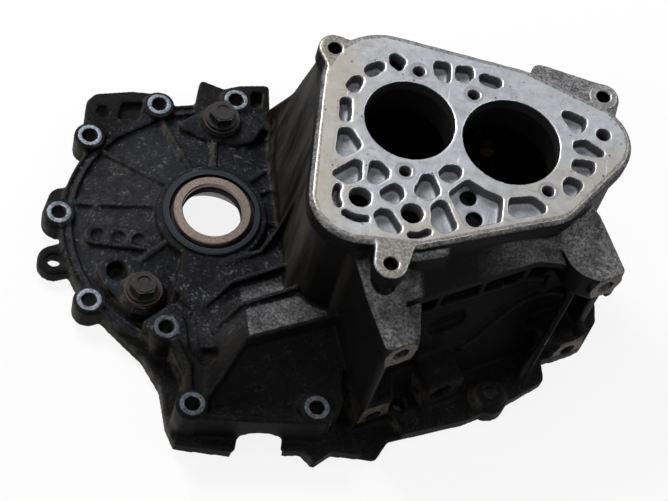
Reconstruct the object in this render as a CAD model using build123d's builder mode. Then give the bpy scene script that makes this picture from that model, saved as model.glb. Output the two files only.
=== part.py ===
"""Gearbox housing: the die-cast gear-case half of a two-shaft car transaxle, stripped to the casting.

It stands on its joint face. +X runs from the output-shaft bore to the input-shaft bore, +Z along the shafts.
Plan positions are measured from the differential axis, in millimetres.
"""

from build123d import *
from math import atan2, cos, hypot, pi, radians, sin, tan
import os

os.makedirs("parts", exist_ok=True)

# ---- Where things stand ----
CASE_HEIGHT = 160.0  # joint face to machined end face
DIFF_X, DIFF_Y = -87.2, 19.3  # differential axis in the row, whose origin is under the middle
OUT_X, OUT_Y = 115.7, 28.6  # output shaft, from the differential axis
SHAFT_CENTRES = 70.9  # output shaft to input shaft
INP_X, INP_Y = OUT_X + SHAFT_CENTRES, OUT_Y - 0.1
RAIL_1 = (OUT_X - 26.0, OUT_Y - 68.8)
RAIL_2 = (OUT_X + 9.5, OUT_Y - 72.9)

# ---- Walls and plates ----
WALL = 6.0
FLANGE_THICK = 12.0
FLANGE_REACH = 17.0  # flange beyond the gear case wall
END_PLATE_THICK = 17.0
LAND_RISE = 2.0  # machined end face above the cast shoulder round it
POCKET_DEPTH = 9.0
POCKET_CORNER = 4.0

# ---- Bores ----
OUT_BORE = 62.0
INP_BORE = 67.3
RAIL_BORE = 14.6
BORE_BOSS_WALL = 6.0
BORE_BOSS_DROP = 16.0  # bearing boss below the end plate
TAPPED_HOLE = 8.0
BOLT_HOLE = 9.6
SPOT_FACE = 17.6
BOLT_BOSS = 23.0

# ---- Differential cover ----
COVER_RADIUS = 106.5
COVER_RIM_TOP = 18.0
COVER_RIM_INSIDE = 98.0
DOME_EDGE_TOP = 13.0
DOME_CROWN_TOP = 30.0
SEAL_BORE = 66.0
SEAL_BOSS_RADIUS = SEAL_BORE / 2 + 7.0
SEAL_BOSS_TOP = 37.5
SEAL_SHOULDER = 4.0  # step behind the seal
RACE_BORE = 76.0
RACE_SEAT_TOP = 24.0
SEAL_SEAT = RACE_SEAT_TOP + 3.5  # floor of the seal bore

CASE = Plane((DIFF_X, DIFF_Y, 0))
UP = Vector(0, 0, 1)


def turned(angle, along, across):
    """Plan point `along` a direction at `angle` from +X, and `across` to its right."""
    a = radians(angle)
    return (along * cos(a) + across * sin(a), along * sin(a) - across * cos(a))


def shifted(points, spot):
    """Points given from a bore or boss, moved to that spot."""
    return [(x + spot[0], y + spot[1]) for x, y in points]


def outline(points, corner):
    """Closed plan outline with rounded corners, or sharp ones if `corner` is nothing."""
    with BuildLine() as edge:
        if corner:
            FilletPolyline(*points, radius=corner, close=True)
        else:
            Polyline(*points, close=True)
    return edge.edges()


def widest_corner(points, wanted):
    """Corner radius that fits on every side of an outline, up to the wanted one."""
    reach = []
    for i, (x, y) in enumerate(points):
        before, after = points[i - 1], points[(i + 1) % len(points)]
        back = atan2(before[1] - y, before[0] - x)
        ahead = atan2(after[1] - y, after[0] - x)
        reach.append(1 / tan(abs((back - ahead + pi) % (2 * pi) - pi) / 2))
    fits = [
        hypot(points[i][0] - points[i - 1][0], points[i][1] - points[i - 1][1]) / (reach[i] + reach[i - 1])
        for i in range(len(points))
    ]
    return min(wanted, 0.95 * min(fits))


def prism(points, low, high, mode=Mode.ADD, corner=0):
    """Upright block over a plan outline."""
    with BuildSketch(CASE.offset(low)) as plan:
        make_face(outline(points, corner))
    extrude(plan.sketch, amount=high - low, mode=mode)


def post(spots, radius, low, high, mode=Mode.ADD):
    """Round posts, or holes, between two heights."""
    with BuildSketch(CASE.offset(low)) as plan:
        with Locations(*spots):
            Circle(radius)
    extrude(plan.sketch, amount=high - low, mode=mode)


def hull_plan(circles, level, grow=0.0):
    """Flat face stretched round some circles, each (x, y, radius)."""
    with BuildSketch(CASE.offset(level)) as plan:
        for x, y, radius in circles:
            with Locations((x, y)):
                Circle(radius + grow)
        make_hull()
    return plan.sketch


def hulled(circles, low, high, mode=Mode.ADD):
    """Upright block stretched round some circles."""
    extrude(hull_plan(circles, low), amount=high - low, mode=mode)


def fin(start, start_top, end, end_top, foot, thick, mode=Mode.ADD, end_foot=None):
    """Upright rib between two plan points; its top, and its foot if `end_foot` is given, may slope."""
    end_foot = foot if end_foot is None else end_foot
    run_x, run_y = end[0] - start[0], end[1] - start[1]
    length = hypot(run_x, run_y)
    side = Plane(
        (DIFF_X + start[0], DIFF_Y + start[1], 0),
        x_dir=(run_x, run_y, 0),
        z_dir=(run_y, -run_x, 0),
    )
    with BuildSketch(side) as profile:
        make_face(outline([(0, foot), (length, end_foot), (length, end_top), (0, start_top)], 0))
    extrude(profile.sketch, amount=thick / 2, both=True, mode=mode)


def frustum(low_points, low, high_points, high, mode=Mode.ADD, corner=0):
    """Block between two plan outlines with the same number of corners."""
    faces = []
    for points, level in ((low_points, low), (high_points, high)):
        with BuildSketch(CASE.offset(level)) as plan:
            make_face(outline(points, corner))
        faces.append(plan.sketch.face())
    loft(faces, ruled=True, mode=mode)


def spun(profile, mode=Mode.ADD):
    """Turned shape about the differential axis from (radius, height) points."""
    with BuildSketch(Plane((DIFF_X, DIFF_Y, 0), x_dir=(1, 0, 0), z_dir=(0, -1, 0))) as section:
        make_face(outline(profile, 0))
    revolve(section.sketch, axis=Axis((DIFF_X, DIFF_Y, 0), UP), mode=mode)


def arc_slot(centre, middle, width, start, end):
    """Curved slot outline with round ends, running round a centre from one angle to another."""
    inner, outer = middle - width / 2, middle + width / 2
    with BuildLine() as edge:
        CenterArc(centre, inner, start, end - start)
        CenterArc(centre, outer, start, end - start)
        for angle in (start, end):
            Line(shifted([turned(angle, inner, 0)], centre)[0], shifted([turned(angle, outer, 0)], centre)[0])
    make_face(edge.edges())
    with Locations(*shifted([turned(start, middle, 0), turned(end, middle, 0)], centre)):
        Circle(width / 2)


# ---- Plan shapes shared by the outside and the hollow ----
OUT = (OUT_X, OUT_Y)
INP = (INP_X, INP_Y)
CASE_CORNERS = [
    (*RAIL_1, 32.0),
    (OUT_X - 17.7, OUT_Y + 22.4, 44.0),
    (INP_X + 1.4, INP_Y + 37.5, 24.0),
    (INP_X + 52.4, INP_Y + 15.5, 30.0),
    (INP_X + 27.4, INP_Y - 32.5, 24.0),
    (OUT_X + 12.3, OUT_Y - 80.6, 16.0),
]
EAR_LEFT = (OUT_X - 57.8, OUT_Y + 46.1)
EAR_FRONT = (OUT_X + 0.1, OUT_Y - 114.0)
EAR_RIGHT = (INP_X + 61.5, INP_Y + 54.1)
COVER_HOLE = (INP_X + 63.3, INP_Y + 22.0)
TAPPED_SPOTS = [
    (OUT_X + 1.7, OUT_Y + 41.7),
    (OUT_X + 41.4, OUT_Y + 32.0),
    (OUT_X + 1.3, OUT_Y - 41.4),
    (INP_X + 28.2, INP_Y - 33.3),
]
SHOULDER = CASE_HEIGHT - LAND_RISE
PLATE_UNDERSIDE = CASE_HEIGHT - END_PLATE_THICK

# Cored pockets in the end face, as outlines from the nearer shaft.
POCKETS_BY_OUTPUT = [
    [(-36, 33), (-34, 38), (-25, 44), (-21, 39), (-28, 30), (-33, 28)],
    [(-47, 17), (-43, 26), (-37, 28), (-35, 24), (-38, 14), (-42, 12)],
    [(-49, 6), (-42, 9), (-41, 4), (-40, -10), (-43, -13), (-47, -11)],
    [(-47, -18), (-39, -16), (-30, -28), (-31, -31), (-40, -40), (-46, -38)],
    [(-47, -54), (-33, -40), (-28, -41), (-27, -55), (-36, -61), (-45, -57)],
    [(-23, -38), (-16, -38), (-9, -44), (-9, -49), (-17, -57), (-23, -55)],
    [(-14, -61), (-5, -52), (1, -55), (3, -61), (-2, -69), (-12, -66)],
    [(-16, -80), (-12, -74), (-5, -74), (4, -86), (3, -91), (-10, -90)],
    [(9, -53), (11, -49), (13, -41), (20, -39), (27, -53), (19, -61), (10, -58)],
    [(21, -65), (26, -58), (31, -58), (41, -77), (32, -84), (23, -78), (23, -71)],
    [(24, -36), (28, -30), (36, -28), (40, -32), (38, -38), (32, -44), (25, -41)],
    [(32, -51), (44, -37), (56, -43), (69, -46), (69, -65), (47, -76)],
    [(11, 50), (13, 54), (23, 54), (24, 39), (20, 36), (13, 42)],
]
POCKETS_BY_INPUT = [
    [(2, -45), (19, -40), (28, -46), (27, -51), (8, -60), (3, -57)],
    [(38, -24), (41, -18), (52, -20), (51, -25), (46, -34), (39, -32)],
    [(43, -10), (44, -3), (59, -2), (59, -9), (55, -15), (44, -12)],
    [(43, 11), (51, 15), (65, 8), (64, 3), (47, 2), (43, 6)],
    [(32, 32), (36, 36), (51, 32), (50, 23), (46, 18), (41, 20)],
    [(-44, 51), (-43, 54), (-32, 55), (-31, 47), (-35, 41), (-43, 41)],
    [(-27, 48), (-26, 52), (-12, 50), (-10, 45), (-15, 41), (-26, 43)],
]
DEEP_POCKET = [(-20, 50), (-16, 53), (-8, 48), (-10, 40), (-12, 38), (-19, 43)]
DRAIN_SPOTS = [(OUT_X + 47.2, OUT_Y - 46.5), (OUT_X + 52.8, OUT_Y - 61.9)]

# Joint bolts: plan position and height of the spot face.
COVER_BOLTS = [
    (-97.6, 53.5, 23.0),
    (-53.0, 93.1, 23.0),
    (2.3, 111.4, 23.0),
    (-106.6, -14.0, 20.0),
    (-72.2, -79.0, 20.0),
]
TALL_BOLTS = [(-16.0, -97.0, 37.0), (11.0, -154.0, 43.0), (94.8, -138.5, 43.0)]
FRONT_BOLTS = [(155.0, -108.5, 14.0), (218.0, -88.0, 20.0)]
BACK_BOLTS = [
    (OUT_X - 32.0, OUT_Y + 82.0, 22.0),
    (OUT_X + 38.0, OUT_Y + 80.0, 22.0),
    (INP_X + 38.0, INP_Y + 72.0, 22.0),
    (INP_X + 92.0, INP_Y + 24.0, 22.0),
]
ALL_BOLTS = COVER_BOLTS + TALL_BOLTS + FRONT_BOLTS + BACK_BOLTS
LEDGE_TOP = 40.0

# The bracket face is turned from the row and carries four pads.
BRACKET_TURN = 31.84
BRACKET_OFFSET = 177.7
PAD_LEFT, PAD_RIGHT = 51.0, 209.2
PAD_HIGH, PAD_LOW = 113.0, 18.0
PAD_SPOTS = [(PAD_LEFT, PAD_HIGH), (PAD_RIGHT, PAD_HIGH), (PAD_LEFT, PAD_LOW), (PAD_RIGHT, PAD_LOW)]
PAD_RADIUS = 13.0
PAD_HOLE = 10.2
PAD_HOLE_DEPTH = 24.0
SHELF_TOP = 120.0
BUTTRESS_TOP = 126.0
ROOF_TOP = 147.0
LEAN_FOOT, LEAN_OUT, LEAN_TOP = 170.0, 31.0, 92.0  # lower wall: out at its foot, lean, height
PORT_ALONG, PORT_HEIGHT, PORT_OUT = 102.0, 28.0, 182.0
PORT_BORE = 20.0
# The terraces in front of the cover run along their own direction.
STEP_TURN = 30.0
TERRACE_LOW, TERRACE_HIGH = 50.0, 63.0

# ---- Plugs, seal and bearing seat ----
PLUG_A = (-6.0, 86.0)
PLUG_B = (-37.0, -69.0)
PLUG_SEAT = 30.0
PLUG_SHANK = 12.0
WASHER_DIAMETER = 27.0
WASHER_THICK = 2.0
HEX_FLATS = 17.0
HEX_HEIGHT = 7.0
HEX_FLANGE = 23.6
HEX_FLANGE_THICK = 2.4
SHIM_THICK = 1.2
SHIM_BORE = RACE_BORE / 2 - 6.5
RACE_LOW = 6.0  # open end of the bearing race
IDLER_SPOT = (INP_X - 1.0, INP_Y + 56.0)
IDLER_HEIGHT = 80.0
IDLER_SHANK = 10.0


def bracket(along, out):
    return turned(BRACKET_TURN, along, out)


def step(along, out):
    return turned(STEP_TURN, along, out)


def face_plane(along, height, out):
    """Plane parallel to the bracket face: x along it, y up, z straight out."""
    x, y = bracket(along, out)
    a = radians(BRACKET_TURN)
    return Plane(
        (DIFF_X + x, DIFF_Y + y, height),
        x_dir=(cos(a), sin(a), 0),
        z_dir=(sin(a), -cos(a), 0),
    )


def bracket_run(profile, start, end, mode=Mode.ADD):
    """Bar along the bracket face with an (out, height) section, between two places along it."""
    x, y = bracket(start, 0)
    a = radians(BRACKET_TURN)
    section_plane = Plane(
        (DIFF_X + x, DIFF_Y + y, 0),
        x_dir=(sin(a), -cos(a), 0),
        z_dir=(-cos(a), -sin(a), 0),
    )
    with BuildSketch(section_plane) as section:
        make_face(outline(profile, 0))
    extrude(section.sketch, amount=start - end, mode=mode)


def leaning_rib(points, thick, proud):
    """Curved rib on the lower wall of the bracket face, through (along, height) points."""
    lean = hypot(LEAN_TOP, LEAN_OUT)
    rise, lie = LEAN_TOP / lean, LEAN_OUT / lean
    x, y = bracket(0, LEAN_FOOT)
    a = radians(BRACKET_TURN)
    wall = Plane(
        (DIFF_X + x, DIFF_Y + y, 0),
        x_dir=(cos(a), sin(a), 0),
        z_dir=(sin(a) * rise, -cos(a) * rise, lie),
    )
    with BuildSketch(wall.offset(-4)) as band:
        with BuildLine() as path:
            Spline(*[(along, height / rise) for along, height in points])
        trace(path.edges(), line_width=thick)
    extrude(band.sketch, amount=4 + proud)


# ======================================================================
# Housing casting: outside
# ======================================================================
with BuildPart() as gearbox_housing:
    # Joint flange: the strip that bolts to the clutch housing.
    with BuildSketch(CASE) as flange_plan:
        Circle(COVER_RADIUS)
        make_face(outline(
            [
                (-60, -88), (-41, -102), (-28, -111), (-12, -131), (-3, -158), (5, -171),
                (45, -168), (92, -157), (102, -165), (113, -153), (145, -150), (152, -134),
                (204, -109), (228, -92), (258, -65), (254.5, -49.5), (283.5, -31.5), (293, -8),
                (290, 25), (262, 60), (40, 60), (0, -60),
            ],
            3,
        ))
        with Locations(*[(x, y) for x, y, top in ALL_BOLTS]):
            Circle(BOLT_BOSS / 2)
    extrude(flange_plan.sketch, amount=FLANGE_THICK)
    extrude(hull_plan(CASE_CORNERS, 0.0, FLANGE_REACH), amount=FLANGE_THICK)

    # Gear case: a tall box drawn in slightly towards the end plate.
    loft(
        [
            hull_plan(CASE_CORNERS, 0.0, 2.0).face(),
            hull_plan(CASE_CORNERS, PLATE_UNDERSIDE + 2, -1.5).face(),
        ]
    )

    # Differential cover: flat rim, shallow dome and seal boss.
    spun(
        [
            (0, 0), (COVER_RADIUS, 0), (COVER_RADIUS, COVER_RIM_TOP - 3),
            (COVER_RIM_INSIDE, COVER_RIM_TOP - 3), (COVER_RIM_INSIDE - 2, DOME_EDGE_TOP),
            (SEAL_BOSS_RADIUS + 4, DOME_CROWN_TOP), (SEAL_BOSS_RADIUS + 1, DOME_CROWN_TOP),
            (SEAL_BOSS_RADIUS, SEAL_BOSS_TOP - 1), (SEAL_BOSS_RADIUS - 1, SEAL_BOSS_TOP),
            (0, SEAL_BOSS_TOP),
        ]
    )
    # Two raised lips run round the rim.
    for inside, outside in ((COVER_RIM_INSIDE, COVER_RIM_INSIDE + 2.5), (COVER_RADIUS - 2.5, COVER_RADIUS)):
        spun([(inside, 5), (outside, 5), (outside, COVER_RIM_TOP), (inside, COVER_RIM_TOP)])

    # Radial ribs from the seal boss to the rim.
    for angle in (152, 120, 96, 181, 226, 58, 42, 6):
        reach = COVER_RIM_INSIDE if 90 < angle < 200 else 62.0
        fin(
            turned(angle, SEAL_BOSS_RADIUS - 5, 0), SEAL_BOSS_TOP - 1.5,
            turned(angle, reach, 0), 17.0 if reach > 90 else 27.0, 6, 3.6,
        )
    post([turned(181, 80, 0)], 5.0, 6, 19)

    # Corner plates and lugs of the flange round the cover.
    prism(
        [(-104, 60), (-106, 86), (-101, 94), (-75, 103), (-53, 106), (-43, 103), (-45, 88), (-80, 58)],
        0, COVER_RIM_TOP, corner=4,
    )
    hulled([(-102.8, -48.5, 12.0), (-84, -38, 12)], 0, 12)
    hulled([(-106.6, -14.0, 12.0), (-107, 0, 10.0)], 0, 15)
    prism([(-27, 98), (-27, 125), (-8, 121), (3, 127), (25, 133), (30, 104), (44, 90)], 0, 20, corner=3)
    prism([(13, 110), (22, 110), (22, 124), (13, 124)], 11, 30, Mode.SUBTRACT, corner=1.5)
    prism([(-80, 91), (-62, 96), (-66, 78), (-77, 78), (-81, 71)], 12, 30, Mode.SUBTRACT, corner=1.5)

    # Triangular seat for the upper plug, between the rim and the lug.
    prism([(-38, 76), (-17, 69), (8, 69), (20, 75), (27, 92), (18, 96), (-20, 96)], 8, 26, corner=3)
    post([PLUG_A], 15.0, 8, PLUG_SEAT)
    # Seat for the lower plug with a blind boss beside it.
    hulled([(-57, -55, 14.0), (PLUG_B[0], PLUG_B[1], 17.0)], 4, 26)
    post([PLUG_B], 14.5, 8, PLUG_SEAT)
    # Long pad with three core dimples.
    fin((-78, -27), 21.5, (-42, -29), 31, 8, 16)
    post([(-78, -27)], 8.0, 8, 21.5)
    post([(-44, -29)], 8.0, 8, 30)

    # Front corner of the case: a ledge with three tall bolt bosses.
    prism(
        [
            (-34, -97), (-28, -101), (-9, -108), (1, -117), (5, -130), (3, -150), (8, -163),
            (33, -157), (60, -152), (100, -150), (112, -136), (120, -60), (0, -60),
        ],
        0, LEDGE_TOP - 4, corner=2.5,
    )
    for start, end in (((-9, -106), (4, -124)), ((4, -124), (9, -150)), ((14, -161), (104, -146))):
        fin(start, LEDGE_TOP, end, LEDGE_TOP, 10, 4.5)
    hulled([(94.8, -138.5, 12), (84, -128, 9), (104, -126, 9)], 0, LEDGE_TOP)

    # Flat shelf beside the seal boss.
    prism(
        [(-15, -34), (-16, -67), (6, -77), (24, -66), (60, -46), (60, -8), (46, -12), (38, -24), (10, -40)],
        6, 37, corner=3,
    )
    # Two terraces rise towards the gear case; the last falls away to the ledge.
    frustum(
        [step(-31, 64), step(-33, 92), step(40, 92), step(40, 64)], 35,
        [step(-7, 64), step(-11, 92), step(40, 92), step(40, 64)], TERRACE_LOW, corner=2,
    )
    frustum(
        [step(-34, 87), step(-60, 139), step(-1, 163), step(34, 166), step(52, 87)], 35,
        [step(-13, 87), step(-20, 117), step(10, 119), step(52, 120), step(52, 87)], TERRACE_HIGH,
        corner=2,
    )
    # A rib stands along each terrace edge and runs down its flank.
    for points in (
        ((60, -40, 60), (22, -63, 58), (5, -77, 36)),
        ((68, -62, 69), (30, -84, 66), (13, -97, 37)),
        ((98, -82, 78), (38, -113, 75), (19, -149, 43)),
    ):
        for (x1, y1, top1), (x2, y2, top2) in zip(points, points[1:]):
            fin((x1, y1), top1, (x2, y2), top2, 14, 3.4)
        post([points[1][:2]], 1.7, 14, points[1][2])
    # Drain groove and pit behind the ledge.
    groove = ((-14, -75), (-3, -82), (2, -95), (6, -110), (16, -113))
    for start, end in zip(groove, groove[1:]):
        fin(start, 50, end, 50, 32, 7, Mode.SUBTRACT)
    post([(16, -113)], 6.5, 31, 50, Mode.SUBTRACT)

    # Left wall of the gear case flares back to a gusset under the end-cover ear.
    frustum(
        [(57, -30), (34, 55), (29, 100), (70, 100), (70, -30)], 8,
        [(57, -28), (52, 40), (49, 76), (70, 84), (70, -28)], PLATE_UNDERSIDE + 2,
    )
    fin((62, 64), CASE_HEIGHT - 3, (26, 106), 22, 0, 7)
    # Upright rib on the left wall, sweeping round under the seal boss.
    sweep = ((60, -7, CASE_HEIGHT - 8), (46, -11, 46), (39, -24, 41), (14, -39, 38))
    for (x1, y1, top1), (x2, y2, top2) in zip(sweep, sweep[1:]):
        fin((x1, y1), top1, (x2, y2), top2, 10, 3.4)

    # Bracket face: upright wall and the lower wall that leans out to the flange.
    wall_section = [
        (100, 0), (LEAN_FOOT, 0), (LEAN_FOOT - LEAN_OUT, LEAN_TOP), (LEAN_FOOT - LEAN_OUT, 105),
        (148, SHELF_TOP), (131, ROOF_TOP), (100, ROOF_TOP),
    ]
    bracket_run(wall_section, 64, 212)
    # Shelf and the rib under it, tied by short webs.
    shelf_outline = [
        bracket(66, 120), bracket(66, 148), bracket(170, 148), bracket(184, 154),
        bracket(200, 172), bracket(215, 172), bracket(215, 120),
    ]
    prism(shelf_outline, SHELF_TOP - 8, SHELF_TOP, corner=3)
    prism(shelf_outline, SHELF_TOP - 28, SHELF_TOP - 23, corner=3)
    for along in (96, 130, 164):
        fin(bracket(along, 130), SHELF_TOP - 4, bracket(along, 148), SHELF_TOP - 4, SHELF_TOP - 26, 5)
    # Left buttress, its roof falling towards the pads.
    prism(
        [bracket(38, 100), bracket(38, 177), bracket(64, 177), bracket(78, 150), bracket(78, 100)],
        0, SHELF_TOP, corner=3,
    )
    left_roof = [(100, 90), (150, 90), (150, BUTTRESS_TOP + 3), (116, ROOF_TOP), (100, ROOF_TOP)]
    bracket_run(left_roof, 38, 78)
    bracket_run([(140, 90), (176, 90), (176, BUTTRESS_TOP - 1), (140, BUTTRESS_TOP + 8)], 38, 63)
    # Room under the front ear for the end of its bolt.
    post([EAR_FRONT], 8.5, BUTTRESS_TOP - 2, PLATE_UNDERSIDE + 3, Mode.SUBTRACT)
    prism(
        [bracket(45, 152), bracket(45, 190), bracket(90, 190), bracket(90, 152)],
        34, 96, Mode.SUBTRACT, corner=3,
    )
    # Right buttress, hollowed to a thin web between its pads.
    prism(
        [
            bracket(187, 110), bracket(187, 160), bracket(192, 170), bracket(200, 177),
            bracket(222, 177), bracket(226, 131), bracket(222, 110),
        ],
        0, BUTTRESS_TOP, corner=3,
    )
    prism(
        [bracket(180, 148), bracket(180, 200), bracket(215, 200), bracket(215, 148)],
        33, 98, Mode.SUBTRACT, corner=3,
    )
    prism(
        [bracket(210, 168), bracket(210, 200), bracket(230, 200), bracket(230, 168)],
        36, 92, Mode.SUBTRACT,
    )
    for along, height in PAD_SPOTS:
        with BuildSketch(face_plane(along, height, 150)) as pad:
            Circle(PAD_RADIUS)
        extrude(pad.sketch, amount=BRACKET_OFFSET - 150)
    # The flange dips in front of the low left pad.
    prism(
        [bracket(35, BRACKET_OFFSET), bracket(35, 208), bracket(67, 208), bracket(67, BRACKET_OFFSET)],
        5, FLANGE_THICK + 1, Mode.SUBTRACT, corner=3,
    )
    # Ribs across the bracket face.
    fin(bracket(196, 165), 94, bracket(168, 186), 10, 4, 5)
    fin(bracket(190, 160), 84, bracket(222, 160), 88, 80, 4)
    leaning_rib([(216, 55), (203, 62), (189, 66), (163, 62), (144, 50), (122, 39)], 4.5, 4)
    leaning_rib([(162, 50), (151, 52), (141, 47), (128, 40)], 3.5, 3)
    # Shallow oval recess beside the port.
    with BuildSketch(face_plane(112, 65, 144)) as oval:
        SlotOverall(30, 15, rotation=8)
    extrude(oval.sketch, amount=12, mode=Mode.SUBTRACT)

    # Selector port, a square boss pointing straight out of the bracket face.
    with BuildSketch(face_plane(PORT_ALONG, PORT_HEIGHT, 120)) as port:
        RectangleRounded(29, 29, 3)
    extrude(port.sketch, amount=PORT_OUT - 120)
    # Lump beside the front ear.
    prism([(128, -50), (128, -78), (155, -66), (152, -44)], PLATE_UNDERSIDE - 26, SHOULDER - 6, corner=4)

    # End plate: cast shoulder, machined land and three end-cover ears.
    extrude(hull_plan(CASE_CORNERS, PLATE_UNDERSIDE, 2.2), amount=SHOULDER - PLATE_UNDERSIDE)
    extrude(hull_plan(CASE_CORNERS, SHOULDER - 1), amount=LAND_RISE + 1)
    hulled([(*EAR_LEFT, 11.5), (OUT_X - 34, OUT_Y + 30, 22)], PLATE_UNDERSIDE, CASE_HEIGHT)
    hulled([(*EAR_FRONT, 11.5), (OUT_X + 2, OUT_Y - 84, 15)], PLATE_UNDERSIDE + 3, CASE_HEIGHT)
    right_lug = [(*EAR_RIGHT, 12.0), (INP_X + 16, INP_Y + 66, 6), (INP_X + 40, INP_Y + 30, 30)]
    hulled(right_lug, PLATE_UNDERSIDE - 8, SHOULDER)
    # A gusset carries the lug down into the back wall.
    fin((INP_X + 38, INP_Y + 33), 140, EAR_RIGHT, 140, 92, 9, end_foot=134)
    post([EAR_RIGHT], 10.5, SHOULDER - 1, CASE_HEIGHT)
    # Boss on the lower front flange.
    post([FRONT_BOLTS[1][:2]], 14.0, 0, 15)

    # ==================================================================
    # Housing casting: hollow, open at the joint face
    # ==================================================================
    loft(
        [
            hull_plan(CASE_CORNERS, 0.0, 2.0 - WALL).face(),
            hull_plan(CASE_CORNERS, PLATE_UNDERSIDE, -1.5 - WALL).face(),
        ],
        mode=Mode.SUBTRACT,
    )
    spun(
        [
            (0, 0), (COVER_RIM_INSIDE - WALL, 0), (COVER_RIM_INSIDE - WALL, DOME_EDGE_TOP - WALL),
            (SEAL_BOSS_RADIUS + 6, DOME_CROWN_TOP - WALL), (0, DOME_CROWN_TOP - WALL),
        ],
        Mode.SUBTRACT,
    )
    # Under the ledge, the terraces, the left wall and the bracket face.
    prism(
        [
            (12, -66), (-8, -80), (-16, -96), (-2, -103), (12, -118), (16, -146), (40, -151),
            (84, -128), (110, -122), (110, -40), (60, -40),
        ],
        0, LEDGE_TOP - 13, Mode.SUBTRACT, corner=4,
    )
    prism(
        [step(-4, 92), step(-10, 111), step(46, 113), step(46, 92)],
        20, TERRACE_HIGH - WALL - 1, Mode.SUBTRACT, corner=3,
    )
    frustum(
        [(63, -24), (42, 52), (38, 86), (72, 86), (72, -24)], 0,
        [(63, -22), (60, 36), (59, 66), (72, 66), (72, -22)], PLATE_UNDERSIDE - 10,
        Mode.SUBTRACT,
    )
    frustum(
        [bracket(84, 60), bracket(84, 162), bracket(182, 162), bracket(182, 60)], 0,
        [bracket(84, 60), bracket(84, 132), bracket(182, 132), bracket(182, 60)], 88,
        Mode.SUBTRACT,
    )
    # Weight-saving hollow inside the left buttress.
    prism(
        [bracket(46, 106), bracket(46, 144), bracket(70, 144), bracket(70, 106)],
        0, 100, Mode.SUBTRACT, corner=4,
    )

    # ==================================================================
    # Housing casting: bosses inside the hollow
    # ==================================================================
    # Joint bolts, each with a machined spot face.
    for x, y, top in ALL_BOLTS:
        post([(x, y)], BOLT_BOSS / 2, 0, top - 0.8)
        post([(x, y)], SPOT_FACE / 2, top - 1, top)
    # Bearing race seat inside the cover.
    post([(0, 0)], RACE_BORE / 2 + WALL, 4, RACE_SEAT_TOP + 2)
    # Bearing bosses and selector rail bosses hang below the end plate.
    boss_low = PLATE_UNDERSIDE - BORE_BOSS_DROP
    post([OUT], OUT_BORE / 2 + BORE_BOSS_WALL, boss_low, PLATE_UNDERSIDE + 1)
    post([INP], INP_BORE / 2 + BORE_BOSS_WALL, boss_low, PLATE_UNDERSIDE + 1)
    post([RAIL_1, RAIL_2], RAIL_BORE / 2 + 5, PLATE_UNDERSIDE - 26, PLATE_UNDERSIDE + 1)
    post(TAPPED_SPOTS[2:], 8.0, PLATE_UNDERSIDE - 8, PLATE_UNDERSIDE + 1)
    # Stiffening ribs down the inside of the back wall.
    for along in (-24, -8, 11, 32):
        fin((INP_X + along, INP_Y + 64), 122, (INP_X + along, INP_Y + 51), 118, 10, 4)
    # Reverse idler boss on the same wall.
    idler_plane = Plane(
        (DIFF_X + IDLER_SPOT[0], DIFF_Y + IDLER_SPOT[1] - 6, IDLER_HEIGHT),
        x_dir=(-1, 0, 0),
        z_dir=(0, 1, 0),
    )
    with BuildSketch(idler_plane) as idler_boss:
        Circle(IDLER_SHANK / 2 + 5)
    extrude(idler_boss.sketch, amount=20)

    # ==================================================================
    # Housing casting: machining and cored pockets
    # ==================================================================
    with BuildSketch(CASE.offset(CASE_HEIGHT - POCKET_DEPTH)) as pockets:
        for points in POCKETS_BY_OUTPUT:
            make_face(outline(shifted(points, OUT), widest_corner(points, POCKET_CORNER)))
        for points in POCKETS_BY_INPUT:
            make_face(outline(shifted(points, INP), widest_corner(points, POCKET_CORNER)))
        arc_slot(RAIL_1, 16.2, 4.5, 164, 214)
        arc_slot(RAIL_1, 16.5, 5.0, -120, -70)
        arc_slot(RAIL_2, 16.8, 4.5, -88, -44)
    extrude(pockets.sketch, amount=POCKET_DEPTH + 1, mode=Mode.SUBTRACT)
    prism(shifted(DEEP_POCKET, OUT), CASE_HEIGHT - 13, CASE_HEIGHT + 1, Mode.SUBTRACT, 2.4)
    post(DRAIN_SPOTS, 5.5, PLATE_UNDERSIDE - 1, CASE_HEIGHT, Mode.SUBTRACT)

    # Shaft bearing bores and blind selector rail bores.
    post([OUT], OUT_BORE / 2, boss_low - 1, CASE_HEIGHT + 1, Mode.SUBTRACT)
    post([INP], INP_BORE / 2, boss_low - 1, CASE_HEIGHT + 1, Mode.SUBTRACT)
    post([RAIL_1, RAIL_2], RAIL_BORE / 2, PLATE_UNDERSIDE - 22, CASE_HEIGHT + 1, Mode.SUBTRACT)
    post(TAPPED_SPOTS, TAPPED_HOLE / 2, PLATE_UNDERSIDE + 2, CASE_HEIGHT + 1, Mode.SUBTRACT)
    # Differential bearing race seat and seal bore.
    post([(0, 0)], RACE_BORE / 2, 0, RACE_SEAT_TOP, Mode.SUBTRACT)
    post([(0, 0)], SEAL_BORE / 2 - SEAL_SHOULDER, 0, SEAL_BOSS_TOP + 1, Mode.SUBTRACT)
    post([(0, 0)], SEAL_BORE / 2, SEAL_SEAT, SEAL_BOSS_TOP + 1, Mode.SUBTRACT)
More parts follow.
